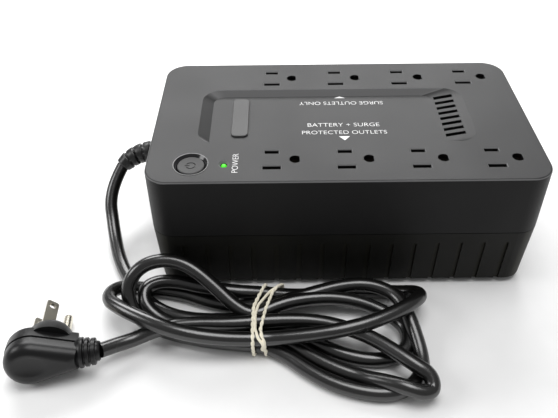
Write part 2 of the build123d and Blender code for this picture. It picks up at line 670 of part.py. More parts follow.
def make_cord_hank():
    """Outer shape of the folded and banded cord: two lobes and a waist under the band."""
    waist_y = -86.7
    left = [(-112.6, -73.6, 15.4), (-103, -84, 16.5), (-79, -81.5, 24.0)]
    right = [(28, -74.5, 16.5), (28, -113.5, 17.0), (-5, -90.5, 32.5)]
    waist = Pos(BAND_X, waist_y, 1.4) * extrude(Rectangle(36, 41.0), 13.8)
    waist = fillet(waist.edges().filter_by(Axis.X), 5.5)
    solids = []
    for lobe, joint, height in ((left, (-62, waist_y, 20.5), 30.6), (right, (-26, waist_y, 20.5), 22.0)):
        solid = extrude(hull_of_circles(lobe + [joint]), height)
        solids.append(chamfer(solid.edges().group_by(Axis.Z)[-1], 5.0))
    return waist + solids


def make_hank_band():
    """Rubber band that goes twice round the waist of the hank."""
    middle = Pos(BAND_X, -86.7, 8.3)
    loops = []
    for shift, turn in ((-3.0, 3.0), (3.0, -4.0)):
        outer = Box(2.6, 43.6, 16.2)
        outer = fillet(outer.edges().filter_by(Axis.X), 6.5)
        inner = fillet(Box(4, 41.2, 14.0).edges().filter_by(Axis.X), 5.6)
        loops.append(middle * Pos(shift, 0, 0) * Rot(0, 0, turn) * (outer - inner))
    return Compound(children=loops)


def plug_place():
    return Plane(origin=PLUG_ORIGIN, x_dir=PLUG_CORD_TO, z_dir=PLUG_BLADES_TO).location


def plug_blades():
    """The two blades in the plug's own frame."""
    return [pin_pattern(-4.9, across) * blade_solid() for across in (BLADE_OFFSET, -BLADE_OFFSET)]


def make_plug_body():
    """Right-angle plug: teardrop body with a thumb dent, round pedestal and ribbed relief."""
    teardrop = hull_of_circles([(0, 0, 12.4), (18.7, -3.8, 3.8), (18.7, 3.8, 3.8)])
    body = extrude(teardrop, 17.5)
    body = fillet(body.edges().group_by(Axis.Z)[0], 3.0)
    body = fillet(body.edges().group_by(Axis.Z)[-1], 1.5)
    body += Pos(PLUG_FACE[0], PLUG_FACE[1], 17) * extrude(Circle(10.2), PLUG_FACE[2] - 17)
    body -= Pos(1.5, 2.5, -0.05) * scale(Sphere(1), by=(9.0, 6.4, 1.1))
    body += rod_x((18, PLUG_LENGTH), 0, PLUG_CORD_Z, 4.9)
    for start, radius in ((23.2, 7.2), (26.1, 6.9), (29.0, 6.4)):
        body += rod_x((start, start + 2.1), 0, PLUG_CORD_Z, radius)
    body -= plug_blades()
    body -= pin_pattern(7.0, 0) * ground_pin_solid()
    return plug_place() * body


def pin_pattern(along, across):
    """Place on the plug's face from the turned pin pattern."""
    turn = math.radians(PLUG_TURN)
    x = PLUG_FACE[0] + along * math.cos(turn) + across * math.sin(turn)
    y = PLUG_FACE[1] + along * math.sin(turn) - across * math.cos(turn)
    return Pos(x, y, PLUG_FACE[2]) * Rot(0, 0, PLUG_TURN)


def blade_solid():
    """Flat blade with chamfered tip and a hole."""
    blade = Pos(0, 0, 7.1) * Box(6.3, 1.5, 18.2)
    blade = chamfer(blade.edges().filter_by(Axis.Y).group_by(Axis.Z)[-1], 0.9)
    return blade - Pos(0, 0, 12.5) * Rot(90, 0, 0) * Cylinder(1.8, 4)


def ground_pin_solid():
    """Round ground pin with a rounded tip."""
    pin = Pos(0, 0, 8.7) * Cylinder(2.4, 21.4)
    return fillet(pin.edges().group_by(Axis.Z)[-1], 1.9)


def make_plug_blade(across):
    return plug_place() * pin_pattern(-4.9, across) * blade_solid()


def make_plug_ground_pin():
    return plug_place() * pin_pattern(7.0, 0) * ground_pin_solid()


def tail_points():
    cord_end = plug_place() * Pos(PLUG_LENGTH, 0, PLUG_CORD_Z)
    return [TAIL_START] + TAIL_POINTS + [tuple(cord_end.position)]


# ---------------------------------------------------------------- build
def main():
    os.makedirs("parts", exist_ok=True)
    save("top_cover", make_top_cover())
    save("base_case", make_base_case())
    corners = [(sx, sy) for sx in (-1, 1) for sy in (-1, 1)]
    for number, (sx, sy) in enumerate(corners, start=1):
        save(f"foot_{number}", make_foot(sx * FOOT_X, sy * FOOT_Y))
        save(f"case_screw_{number}", make_case_screw(sx * SCREW_X, sy * SCREW_Y))
    save("badge", make_badge())

    save("button_bezel", make_button_bezel())
    save("power_button", make_power_button())
    save("button_spring", make_button_spring())
    save("button_board", make_button_board())
    save("switch_body", make_switch_body())
    save("switch_plunger", make_switch_plunger())
    save("status_led", make_status_led())
    save("breaker_body", make_breaker_body())
    save("breaker_button", make_breaker_button())

    for row, row_y in ROWS.items():
        save(f"outlet_carrier_{row}", make_carrier(row_y))
        save(f"hot_bar_{row}", make_blade_bar(row_y, 1))
        save(f"neutral_bar_{row}", make_blade_bar(row_y, -1))
        save(f"ground_bar_{row}", make_ground_bar(row_y))

    save("battery_door", make_battery_door())
    save("battery", make_battery())
    save("battery_terminals", make_battery_terminals())
    save("battery_pads", make_battery_pads())
    save("battery_lead_red", make_battery_lead("red"))
    save("battery_lead_black", make_battery_lead("black"))
    save("transformer_core", make_transformer_core())
    save("transformer_winding", make_transformer_winding())
    save("transformer_bracket", make_transformer_bracket())
    save("transformer_screw_1", make_transformer_screw(-1))
    save("transformer_screw_2", make_transformer_screw(1))

    save("main_board", make_main_board())
    save("relay_1", on_board((-38, -19), (6, 21), 9.6))
    save("relay_2", on_board((-16, 3), (6, 21), 9.6))
    save("capacitor_1", make_capacitor(26, 6.5))
    save("capacitor_2", make_capacitor(26, 17.5))
    save("heat_sink", make_heat_sink())
    save("power_transistors", make_power_transistors())
    save("fuse", make_fuse())
    save("varistors", make_varistors())
    save("buzzer", make_buzzer())
    save("board_screws", make_board_screws())
    save("line_wires", make_line_wires())

    save("strain_relief", make_strain_relief())
    lead = tube(lead_points(), CORD_DIAMETER)
    report_cord("lead", lead_points(), lead)
    save("cord_lead", lead)
    save("cord_hank", make_cord_hank())
    save("hank_band", make_hank_band())
    tail = tube(tail_points(), CORD_DIAMETER)
    report_cord("tail", tail_points(), tail)
    save("cord_tail", tail)
    save("plug_body", make_plug_body())
    save("plug_blade_1", make_plug_blade(BLADE_OFFSET))
    save("plug_blade_2", make_plug_blade(-BLADE_OFFSET))
    save("plug_ground_pin", make_plug_ground_pin())


if __name__ == "__main__":
    main()
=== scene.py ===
import json
import math

import bmesh
import bpy
from mathutils import Matrix, Vector


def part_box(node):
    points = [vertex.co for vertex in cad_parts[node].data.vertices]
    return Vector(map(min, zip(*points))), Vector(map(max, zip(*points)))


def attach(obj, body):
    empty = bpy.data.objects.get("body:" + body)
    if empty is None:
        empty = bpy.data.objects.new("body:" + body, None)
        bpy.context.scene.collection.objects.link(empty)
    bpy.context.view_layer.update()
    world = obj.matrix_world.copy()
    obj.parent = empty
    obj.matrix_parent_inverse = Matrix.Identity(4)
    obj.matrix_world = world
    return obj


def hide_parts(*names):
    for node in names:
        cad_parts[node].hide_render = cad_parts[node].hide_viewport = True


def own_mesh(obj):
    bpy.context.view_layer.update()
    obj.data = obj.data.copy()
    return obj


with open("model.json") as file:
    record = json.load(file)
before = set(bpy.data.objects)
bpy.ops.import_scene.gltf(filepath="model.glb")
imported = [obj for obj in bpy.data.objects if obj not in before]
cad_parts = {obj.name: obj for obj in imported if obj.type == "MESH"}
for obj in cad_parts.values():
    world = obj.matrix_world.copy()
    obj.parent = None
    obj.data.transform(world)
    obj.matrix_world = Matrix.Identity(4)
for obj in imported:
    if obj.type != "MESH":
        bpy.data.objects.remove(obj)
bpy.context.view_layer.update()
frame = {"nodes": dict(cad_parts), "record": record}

MM = 0.001


def mm(*values):
    return Vector(values) * MM


# ---------------------------------------------------------------- camera
SENSOR_WIDTH = 36.0
FOCAL_LENGTH = 42.76
CAMERA_SHIFT_Y = -0.0789
CAMERA_PLACE = (-34.29, -301.29, 282.64)    # in mm
CAMERA_RIGHT = (0.9999456, -0.0062251, -0.0083676)
CAMERA_DOWN = (-0.0104227, -0.6248018, -0.7807138)
CAMERA_FORWARD = (-0.0003681, 0.7807586, -0.6248327)


def make_camera():
    """Stands in front of the unit, a little to the left, and looks down at it."""
    data = bpy.data.cameras.new("camera")
    data.sensor_width = SENSOR_WIDTH
    data.lens = FOCAL_LENGTH
    data.shift_y = CAMERA_SHIFT_Y
    data.clip_start = 0.01
    turn = Matrix((Vector(CAMERA_RIGHT), -Vector(CAMERA_DOWN), -Vector(CAMERA_FORWARD))).transposed()
    camera = bpy.data.objects.new("camera", data)
    camera.matrix_world = Matrix.Translation(mm(*CAMERA_PLACE)) @ turn.to_4x4()
    bpy.context.scene.collection.objects.link(camera)
    bpy.context.scene.camera = camera


make_camera()

# ---------------------------------------------------------------- cord
CORD_DIAMETER = 7.4
CORD_EXIT = (-128.3, 11.3, 33.5)      # the strain relief's free end
PLUG_CORD_END = (-122.2, -105.5, 11.6)  # the cord goes into the plug here
LENGTH_STEPS = 12                     # per stretch, when the cord is measured

# The cord from the strain relief down to the floor, in mm.
LEAD_POINTS = [
    CORD_EXIT,
    (-136.0, -1.0, 24.0),
    (-132.5, -18.0, 9.5),
    (-126.0, -39.5, 3.8),
    (-114.3, -59.0, 3.8),
]

# The hank, in mm. The first row brings the lead to the band, the last leaves it for the
# tail, and each row between runs from the band out to an end of the hank and back.
FOLDS = [
    # the lead runs in under the left loops
    [(-104, -71, 3.8), (-92, -78.5, 3.8), (-77, -81.8, 3.8), (-60, -81.8, 3.8), (-43, -81.8, 3.8)],
    # right, low and tight
    [(-29, -87.5, 3.8), (-17, -96.5, 3.8), (-3, -104.3, 3.8), (11, -107.5, 3.8),
     (21.5, -106, 3.8), (29, -100, 3.8), (30.5, -92, 3.8), (28, -84.5, 3.8),
     (19.5, -78.5, 5.5), (7, -74.3, 8.5), (-8, -72.9, 10.5), (-24, -74.8, 11.2),
     (-36, -78.3, 11.2)],
    # left, the tall loop that stands up
    [(-47.5, -84.0, 10.0), (-57, -81, 12.8), (-69, -72, 19.7), (-80.6, -64.8, 26),
     (-91.5, -61.4, 28), (-102, -62.2, 27.5), (-110, -65.5, 24), (-114.3, -70.5, 17),
     (-113, -76.5, 9.8), (-106.5, -82.8, 4.8), (-95, -88.3, 3.8), (-78, -93.6, 3.8),
     (-60, -96.4, 3.8), (-43, -98.0, 3.8)],
    # right, the widest loop on the floor, back over the top
    [(-32, -103.5, 3.8), (-22, -112, 3.8), (-10, -120, 3.8), (4, -124.8, 3.8),
     (18, -126, 3.8), (28.5, -121.5, 3.8), (34.3, -113.5, 3.8), (35, -104, 4.5),
     (32.8, -93, 8.5), (30.5, -83, 11), (26.5, -73, 11.3), (19, -67.2, 11.3),
     (9, -64.5, 11.3), (-4, -66.2, 11.3), (-16, -70, 11), (-28, -73, 9.8),
     (-43, -75, 6.6)],
    # left, the long nose that leans out
    [(-60, -72.8, 3.8), (-74, -69.5, 3.8), (-84, -64.9, 3.8), (-96, -61.8, 3.8),
     (-107, -60.6, 4.3), (-117.5, -61.5, 7.6), (-124, -67, 11), (-124, -76, 14),
     (-115.5, -84, 16.8), (-103, -91.8, 18), (-90, -97.8, 18), (-77, -100.8, 16.6),
     (-60, -101, 13.6), (-43, -99.4, 11.3)],
    # right, the front strand that rises over the others
    [(-32, -99.9, 13), (-18, -99.9, 15), (-4.5, -98.9, 17), (10, -95.5, 18),
     (24.5, -88.5, 18), (33, -82.5, 17.3), (38.6, -76, 14.8), (37.6, -69, 9.5),
     (30, -65, 4.6), (18, -63.5, 3.8), (3, -63.0, 3.8), (-12, -65, 3.8),
     (-27, -66.8, 4.6), (-43, -67.7, 8.2)],
    # left, the small loop inside
    [(-60, -68.8, 11.2), (-76, -65.8, 11.2), (-89, -62, 11.5), (-99.5, -61.8, 12),
     (-106.5, -66.5, 12), (-106, -74.5, 9), (-99, -80.3, 5), (-88, -85.2, 3.8),
     (-74, -88.2, 3.8), (-60, -89.6, 3.8), (-43, -90.2, 3.8)],
    # right, out to the front nose and back over the floor loops
    [(-31, -95.5, 3.8), (-19, -104.8, 3.8), (-7, -112, 3.8), (5, -116.8, 3.8),
     (14, -121.4, 7.5), (23, -126, 10), (31.5, -128.6, 8.5), (36.8, -126, 7.2),
     (36, -120, 10.5), (29, -116.2, 12.8), (19.5, -107.8, 13), (10.5, -100.5, 12.6),
     (2, -95.6, 12), (-7, -91.6, 11.7), (-18, -88.9, 11.5), (-30, -88.2, 11.5),
     (-43, -88.6, 11.4)],
    # left, the top strand that becomes the tail
    [(-60, -90, 11.3), (-75, -89.6, 11.2), (-87, -90.2, 11)],
]

TAIL_POINTS = [
    (-98.0, -92.6, 9.8),
    (-107.5, -96.0, 7.6),
    (-115.5, -100.3, 9.0),
    PLUG_CORD_END,
]


def cord_points():
    points = list(LEAD_POINTS)
    for fold in FOLDS:
        points.extend(fold)
    return points + TAIL_POINTS


def make_cord():
    points = cord_points()
    data = bpy.data.curves.new("cord", "CURVE")
    data.dimensions = "3D"
    data.bevel_depth = CORD_DIAMETER / 2 * MM
    data.bevel_resolution = 6
    data.resolution_u = 10
    data.use_fill_caps = True
    spline = data.splines.new("NURBS")
    spline.points.add(len(points) - 1)
    for target, point in zip(spline.points, points):
        target.co = (*mm(*point), 1.0)
    spline.order_u = 3
    spline.use_endpoint_u = True
    cord = bpy.data.objects.new("power_cord", data)
    bpy.context.scene.collection.objects.link(cord)
    return cord


def curve_length(points):
    """Length of the cord's quadratic curve through the middles of the legs between its points."""
    total = 0.0
    ends = [Vector(points[0])]
    ends += [(Vector(a) + Vector(b)) / 2 for a, b in zip(points[1:-2], points[2:-1])]
    ends.append(Vector(points[-1]))
    for start, corner, end in zip(ends, points[1:-1], ends[1:]):
        last = start
        for step in range(1, LENGTH_STEPS + 1):
            t = step / LENGTH_STEPS
            here = start * (1 - t) ** 2 + Vector(corner) * (2 * t * (1 - t)) + end * t ** 2
            total += (here - last).length
            last = here
    return total


cord = make_cord()
CORD_LENGTH = curve_length(cord_points()) * MM


# ---------------------------------------------------------------- mesh helpers
def new_piece(name, build, smooth_degrees):
    """A mesh object whose shape is filled in by build(bm). Flatter angles than this are smooth."""
    bm = bmesh.new()
    build(bm)
    bmesh.ops.recalc_face_normals(bm, faces=bm.faces)
    mesh = bpy.data.meshes.new(name)
    bm.to_mesh(mesh)
    bm.free()
    mesh.shade_smooth()
    mesh.set_sharp_from_angle(angle=math.radians(smooth_degrees))
    piece = bpy.data.objects.new(name, mesh)
    bpy.context.scene.collection.objects.link(piece)
    return piece


def skin(bm, rings):
    """Join rings of points, all with the same count, into one skin with closed ends."""
    made = [[bm.verts.new(point) for point in ring] for ring in rings]
    count = len(made[0])
    for low, high in zip(made, made[1:]):
        for i in range(count):
            j = (i + 1) % count
            bm.faces.new((low[i], low[j], high[j], high[i]))
    bm.faces.new(made[0])
    bm.faces.new(made[-1])


# ---------------------------------------------------------------- strain relief
RELIEF_STRAIGHT = 7.5
RELIEF_BEND_RADIUS = 26.0
RELIEF_BEND_ANGLE = math.radians(48.0)
RELIEF_SIDEWAYS = Vector((0.0, -0.66, -0.7513))
RELIEF_RIBS = 5
RELIEF_RIBS_FROM = 4.0
RELIEF_TIP = 1.5                # left plain beyond the last rib
RELIEF_ROOT_RADIUS = 6.7
RELIEF_TAPER = 1.5              # lost in radius from root to tip
RELIEF_BRIDGE_SCALE = 0.95
RELIEF_GROOVE_SCALE = 0.68
RELIEF_BRIDGE_COSINE = 0.86


def relief_root():
    """Where the straight root of the relief leaves the wall, found back from the cord's exit."""
    along = RELIEF_STRAIGHT + RELIEF_BEND_RADIUS * math.sin(RELIEF_BEND_ANGLE)
    across = RELIEF_BEND_RADIUS * (1 - math.cos(RELIEF_BEND_ANGLE))
    return Vector(CORD_EXIT) + Vector((along, 0, 0)) - RELIEF_SIDEWAYS * across


def relief_station(distance):
    """Centre and direction of the strain relief at a distance along it."""
    root = relief_root()
    out = Vector((-1, 0, 0))
    if distance <= RELIEF_STRAIGHT:
        return root + out * distance, out
    angle = (distance - RELIEF_STRAIGHT) / RELIEF_BEND_RADIUS
    centre = root + out * (RELIEF_STRAIGHT + RELIEF_BEND_RADIUS * math.sin(angle))
    centre += RELIEF_SIDEWAYS * (RELIEF_BEND_RADIUS * (1 - math.cos(angle)))
    direction = out * math.cos(angle) + RELIEF_SIDEWAYS * math.sin(angle)
    return centre, direction


def ring_of(centre, direction, radius, count=40, notch=None):
    """A circle of points round an axis. notch(angle) scales the radius."""
    side = Vector((0, 0, 1)).cross(direction).normalized()
    up = direction.cross(side)
    points = []
    for i in range(count):
        angle = math.tau * i / count
        size = radius * (notch(angle) if notch else 1.0)
        points.append((centre + side * (size * math.cos(angle)) + up * (size * math.sin(angle))) * MM)
    return points


def make_strain_relief():
    length = RELIEF_STRAIGHT + RELIEF_BEND_RADIUS * RELIEF_BEND_ANGLE
    pitch = (length - RELIEF_RIBS_FROM - RELIEF_TIP) / RELIEF_RIBS

    def bridge(turn):
        """Between two ribs the skin stands out only at two bridges."""
        def scale(angle):
            on_bridge = abs(math.cos(angle + turn)) > RELIEF_BRIDGE_COSINE
            return RELIEF_BRIDGE_SCALE if on_bridge else RELIEF_GROOVE_SCALE
        return scale

    def build(bm):
        rings = []

        def add_ring(distance, radius, notch=None):
            centre, direction = relief_station(distance)
            rings.append(ring_of(centre, direction, radius, notch=notch))

        add_ring(-1.5, 6.5)
        add_ring(0.6, RELIEF_ROOT_RADIUS)
        for rib in range(RELIEF_RIBS):
            start = RELIEF_RIBS_FROM + rib * pitch
            radius = RELIEF_ROOT_RADIUS - RELIEF_TAPER * (start / length)
            notch = bridge(math.pi / 2 * (rib % 2))
            add_ring(start - 0.35, radius)
            add_ring(start, radius * 0.97)
            add_ring(start + 0.15, radius, notch)
            add_ring(start + 1.15, radius, notch)
            add_ring(start + 1.3, radius * 0.97)
            add_ring(start + 1.65, radius)
        add_ring(length - 0.5, 4.75)
        add_ring(length, 4.4)
        add_ring(length, 3.8)
        skin(bm, rings)

    return new_piece("cord_relief", build, 24.0)


# ---------------------------------------------------------------- plug
PLUG_ORIGIN = Vector((-153.1, -118.2, 15.0))
PLUG_BLADES_TO = Vector((-0.1544, 0.9605, -0.2317))
PLUG_CORD_TO = Vector((0.988, 0.1477, -0.0462))
PLUG_HEAD_RADIUS = 12.4
PLUG_BODY_END = 22.5
PLUG_THICKNESS = 17.5
PLUG_CORD_HEIGHT = 8.2
PLUG_FACE = (8.0, -2.0, 21.0)
PLUG_PEDESTAL_RADIUS = 10.2
PLUG_NECK_HALF_WIDTH = 6.2
PLUG_BACK_ROUNDING = 5.6
PLUG_FRONT_ROUNDING = 3.0
PLUG_LIP_Z = 9.2
PLUG_BACK_INSET = 0.35          # the back half is this much smaller all round
PLUG_SIDE_POINTS = 7
PLUG_END_POINTS = 6

# The pedestal that the blades stand on: height from its face, and how much its radius is reduced.
PEDESTAL_RINGS = [(-8.0, -1.6), (-3.2, -1.3), (-1.2, -0.3), (-0.4, 0.2), (0.0, 1.0)]

# The ribbed sleeve at the cord: distance along the plug, and radius.
SLEEVE_RINGS = [
    (20.0, 5.9), (22.9, 7.0), (23.3, 7.3), (24.6, 7.3), (24.9, 6.9), (24.9, 5.4),
    (25.6, 5.4), (25.6, 6.6), (25.9, 6.9), (27.2, 6.9), (27.5, 6.6), (27.5, 5.3),
    (28.3, 5.3), (28.3, 6.1), (28.6, 6.5), (30.3, 6.5), (30.6, 6.1), (30.6, 5.0),
    (32.2, 4.7), (32.6, 4.3), (32.6, 3.6),
]


def plug_place():
    z_axis = PLUG_BLADES_TO.normalized()
    x_axis = (PLUG_CORD_TO - z_axis * PLUG_CORD_TO.dot(z_axis)).normalized()
    y_axis = z_axis.cross(x_axis)
    turn = Matrix((x_axis, y_axis, z_axis)).transposed()
    return Matrix.Translation(PLUG_ORIGIN * MM) @ turn.to_4x4()


def teardrop(radius, neck, end_x, count=64):
    """Outline of the plug: a round head that narrows with straight sides to its neck."""
    lean = math.asin((radius - neck) / end_x)
    touch = math.pi / 2 - lean
    points = []
    arc_count = count - 2 * PLUG_SIDE_POINTS - PLUG_END_POINTS
    for i in range(arc_count):
        angle = touch + (math.tau - 2 * touch) * i / (arc_count - 1)
        points.append((radius * math.cos(angle), radius * math.sin(angle)))
    start = Vector(points[-1])
    corner = Vector((end_x, -neck))
    for i in range(1, PLUG_SIDE_POINTS + 1):
        point = start.lerp(corner, i / (PLUG_SIDE_POINTS + 1))
        points.append(tuple(point))
    for i in range(PLUG_END_POINTS):
        points.append((end_x, -neck + 2 * neck * i / (PLUG_END_POINTS - 1)))
    for i in range(1, PLUG_SIDE_POINTS + 1):
        point = Vector((end_x, neck)).lerp(Vector(points[0]), i / (PLUG_SIDE_POINTS + 1))
        points.append(tuple(point))
    return points


def inset_teardrop(inset, z):
    neck = max(1.0, PLUG_NECK_HALF_WIDTH - inset)
    scaled = teardrop(PLUG_HEAD_RADIUS - inset, neck, PLUG_BODY_END - 0.4 * inset)
    return [Vector((x, y, z)) * MM for x, y in scaled]


DENT_CENTRE = (0.8, -1.4)
DENT_RADII = (8.8, 6.4)
DENT_DEPTH = 1.1


def thumb_dent(edge, rings=14):
    """The plug's back face, from its middle out to its edge, with a shallow oval dent."""
    centre = Vector((*DENT_CENTRE, 0.0)) * MM
    made = []
    for step in range(rings + 1):
        share = max(step / rings, 0.004)
        ring = []
        for point in edge:
            place = centre.lerp(point, share)
            across = ((place.x - centre.x) / MM / DENT_RADII[0]) ** 2
            across += ((place.y - centre.y) / MM / DENT_RADII[1]) ** 2
            place.z = DENT_DEPTH * MM * max(0.0, 1.0 - across)
            ring.append(place)
        made.append(ring)
    return made


def make_plug():
    """The moulded plug: a back half with a large rounding, a lip line, and a front half with a pedestal."""
    def build(bm):
        rings = thumb_dent(inset_teardrop(PLUG_BACK_ROUNDING + PLUG_BACK_INSET, 0.0))
        for step in range(1, 9):
            angle = math.pi / 2 * step / 8
            inset = PLUG_BACK_ROUNDING * (1 - math.sin(angle)) + PLUG_BACK_INSET
            rings.append(inset_teardrop(inset, PLUG_BACK_ROUNDING * (1 - math.cos(angle))))
        rings.append(inset_teardrop(PLUG_BACK_INSET, PLUG_LIP_Z - 0.6))
        rings.append(inset_teardrop(0.9, PLUG_LIP_Z - 0.35))
        rings.append(inset_teardrop(0.9, PLUG_LIP_Z))
        rings.append(inset_teardrop(0.0, PLUG_LIP_Z + 0.25))
        front = PLUG_THICKNESS - PLUG_FRONT_ROUNDING
        rings.append(inset_teardrop(0.0, front))
        for step in range(1, 7):
            angle = math.pi / 2 * step / 6
            inset = PLUG_FRONT_ROUNDING * (1 - math.cos(angle))
            rings.append(inset_teardrop(inset, front + PLUG_FRONT_ROUNDING * math.sin(angle)))
        skin(bm, rings)
        centre = Vector(PLUG_FACE)
        pedestal = []
        for height, reduced in PEDESTAL_RINGS:
            ring = []
            size = PLUG_PEDESTAL_RADIUS - reduced
            for i in range(48):
                angle = math.tau * i / 48
                ring.append(Vector((centre.x + size * math.cos(angle),
                                    centre.y + size * math.sin(angle),
                                    centre.z + height)) * MM)
            pedestal.append(ring)
        skin(bm, pedestal)
        sleeve = []
        for x, radius in SLEEVE_RINGS:
            ring = []
            for i in range(40):
                angle = math.tau * i / 40
                ring.append(Vector((x, radius * math.cos(angle),
                                    PLUG_CORD_HEIGHT + radius * math.sin(angle))) * MM)
            sleeve.append(ring)
        skin(bm, sleeve)

    plug = new_piece("plug_moulding", build, 40.0)
    plug.data.transform(plug_place())
    return plug


# ---------------------------------------------------------------- band
BAND_X = -43.0
BAND_TWISTS = 14
BAND_STANDOFF = 0.75            # from the cord's skin to the middle of a strand
BAND_POINTS = 84


def band_passes():
    """Where the cord crosses the band's plane, as (y, z) in mm."""
    points = cord_points()
    return [(y, z) for x, y, z in points if x == BAND_X]


def stretched_round(circles, radius):
    """The line of an elastic band stretched round equal circles: their convex hull."""
    cloud = []
    for y, z in circles:
        for i in range(24):
            angle = math.tau * i / 24
            cloud.append((round(y + radius * math.cos(angle), 4), round(z + radius * math.sin(angle), 4)))
    cloud = sorted(set(cloud))

    def half(points):
        chain = []
        for point in points:
            while len(chain) > 1:
                (ay, az), (by, bz) = chain[-2], chain[-1]
                if (by - ay) * (point[1] - az) - (bz - az) * (point[0] - ay) > 0:
                    break
                chain.pop()
            chain.append(point)
        return chain[:-1]

    return half(cloud) + half(cloud[::-1])


def evenly(loop, count):
    """Points at equal steps round a closed loop."""
    loop = [Vector(point) for point in loop]
    sides = list(zip(loop, loop[1:] + loop[:1]))
    total = sum((b - a).length for a, b in sides)
    points = []
    walked = 0.0
    side = 0
    for i in range(count):
        goal = total * i / count
        while walked + (sides[side][1] - sides[side][0]).length < goal:
            walked += (sides[side][1] - sides[side][0]).length
            side += 1
        a, b = sides[side]
        points.append(a + (b - a).normalized() * (goal - walked))
    return points


def along(stations, y):
    """The X of a band's pass at a depth y, from (y, x) stations in order of y."""
    if y <= stations[0][0]:
        return stations[0][1]
    for (y0, x0), (y1, x1) in zip(stations, stations[1:]):
        if y <= y1:
            return x0 + (x1 - x0) * (y - y0) / (y1 - y0)
    return stations[-1][1]


def band_strand(name, stations, radius, wave=0.0, phase=0.0):
    """One pass of the band round the hank. Over the hank it follows its stations of (y, x),
    and under it it runs straight between the outer two. wave twists it round its neighbour."""
    loop = evenly(stretched_round(band_passes(), CORD_DIAMETER / 2 + BAND_STANDOFF), BAND_POINTS)
    front = min(y for y, _ in loop)
    back = max(y for y, _ in loop)
    middle = sum(z for _, z in loop) / len(loop)
    data = bpy.data.curves.new(name, "CURVE")
    data.dimensions = "3D"
    data.bevel_depth = radius * MM
    data.bevel_resolution = 3
    data.resolution_u = 5
    spline = data.splines.new("NURBS")
    spline.points.add(len(loop) - 1)
    for i, (y, z) in enumerate(loop):
        angle = math.tau * BAND_TWISTS * i / len(loop) + phase
        x = along(stations, y)
        if z < middle:
            share = (y - front) / (back - front)
            x = stations[0][1] + (stations[-1][1] - stations[0][1]) * share
        x += wave * math.sin(angle)
        lift = wave * math.cos(angle)
        spline.points[i].co = (*mm(x, y, max(z + lift, radius)), 1.0)
    spline.order_u = 3
    spline.use_cyclic_u = True
    strand = bpy.data.objects.new(name, data)
    bpy.context.scene.collection.objects.link(strand)
    return strand


# ---------------------------------------------------------------- materials
# The colour sockets of a Mix node, which share their names with its other sockets.
MIX_A = 6
MIX_B = 7
MIX_RESULT = 2
GRAIN_DEPTH = 0.0002
EDGE_HIGHLIGHT_GAIN = 3.2         # painted highlight on rounded edges, against the top
SLOPE_SHADE_GAIN = 0.35       # painted shade on steep slopes, against the top


def node_material(name):
    material = bpy.data.materials.new(name)
    material.use_nodes = True
    nodes = material.node_tree.nodes
    links = material.node_tree.links
    return material, nodes, links, nodes["Principled BSDF"]


def grain(nodes, links, shader, scale, strength):
    """Fine bumps over the surface, scale per metre. Returns the coordinates that they lie on."""
    place = nodes.new("ShaderNodeTexCoord")
    noise = nodes.new("ShaderNodeTexNoise")
    noise.inputs["Scale"].default_value = scale
    noise.inputs["Detail"].default_value = 3.0
    bump = nodes.new("ShaderNodeBump")
    bump.inputs["Strength"].default_value = strength
    bump.inputs["Distance"].default_value = GRAIN_DEPTH
    links.new(place.outputs["Object"], noise.inputs["Vector"])
    links.new(noise.outputs["Fac"], bump.inputs["Height"])
    links.new(bump.outputs["Normal"], shader.inputs["Normal"])
    return place


def spread(nodes, links, place, target, scale, low, high):
    """A slow change of one number over the surface, from low to high."""
    noise = nodes.new("ShaderNodeTexNoise")
    noise.inputs["Scale"].default_value = scale
    noise.inputs["Detail"].default_value = 2.0
    ramp = nodes.new("ShaderNodeMapRange")
    ramp.inputs["From Min"].default_value = 0.3
    ramp.inputs["From Max"].default_value = 0.7
    ramp.inputs["To Min"].default_value = low
    ramp.inputs["To Max"].default_value = high
    links.new(place.outputs["Object"], noise.inputs["Vector"])
    links.new(noise.outputs["Fac"], ramp.inputs["Value"])
    links.new(ramp.outputs["Result"], target)


def tint(nodes, links, place, target, scale, dark, light):
    """Two near colours mixed by noise."""
    noise = nodes.new("ShaderNodeTexNoise")
    noise.inputs["Scale"].default_value = scale
    noise.inputs["Detail"].default_value = 4.0
    ramp = nodes.new("ShaderNodeValToRGB")
    ramp.color_ramp.elements[0].position = 0.35
    ramp.color_ramp.elements[0].color = (*dark, 1.0)
    ramp.color_ramp.elements[1].position = 0.65
    ramp.color_ramp.elements[1].color = (*light, 1.0)
    links.new(place.outputs["Object"], noise.inputs["Vector"])
    links.new(noise.outputs["Fac"], ramp.inputs["Fac"])
    links.new(ramp.outputs["Color"], target)


def paint_light_by_facing(nodes, links, shader, colour):
    """Painted light by facing: faces that look up are painted lighter than the walls, rounded edges get a
    painted highlight lighter still, and steep slopes get painted shade, darker than the top.
    """
    facing = nodes.new("ShaderNodeNewGeometry")
    part = nodes.new("ShaderNodeSeparateXYZ")
    shade = nodes.new("ShaderNodeValToRGB")
    wall = shader.inputs["Base Color"].links[0].from_socket
    edge = tuple(min(1.0, EDGE_HIGHLIGHT_GAIN * c) for c in colour)
    slope_shade = tuple(SLOPE_SHADE_GAIN * c for c in colour)
    # The ramp paints light and shade by the normal's Z: walls get none, rounded edges a painted highlight,
    # steep slopes painted shade, and the top its painted light.
    stops = [(0.20, (0, 0, 0)), (0.30, edge), (0.78, edge), (0.85, slope_shade), (0.93, slope_shade), (0.99, colour)]
    for place, _ in stops[1:-1]:
        shade.color_ramp.elements.new(place)
    for stop, (place, value) in zip(shade.color_ramp.elements, stops):
        stop.position = place
        stop.color = (*value, 1.0)
    lighter = nodes.new("ShaderNodeMix")
    lighter.data_type = "RGBA"
    lighter.blend_type = "ADD"
    lighter.inputs["Factor"].default_value = 1.0
    links.new(facing.outputs["Normal"], part.inputs["Vector"])
    links.new(part.outputs["Z"], shade.inputs["Fac"])
    links.new(wall, lighter.inputs[MIX_A])
    links.new(shade.outputs["Color"], lighter.inputs[MIX_B])
    links.new(lighter.outputs[MIX_RESULT], shader.inputs["Base Color"])


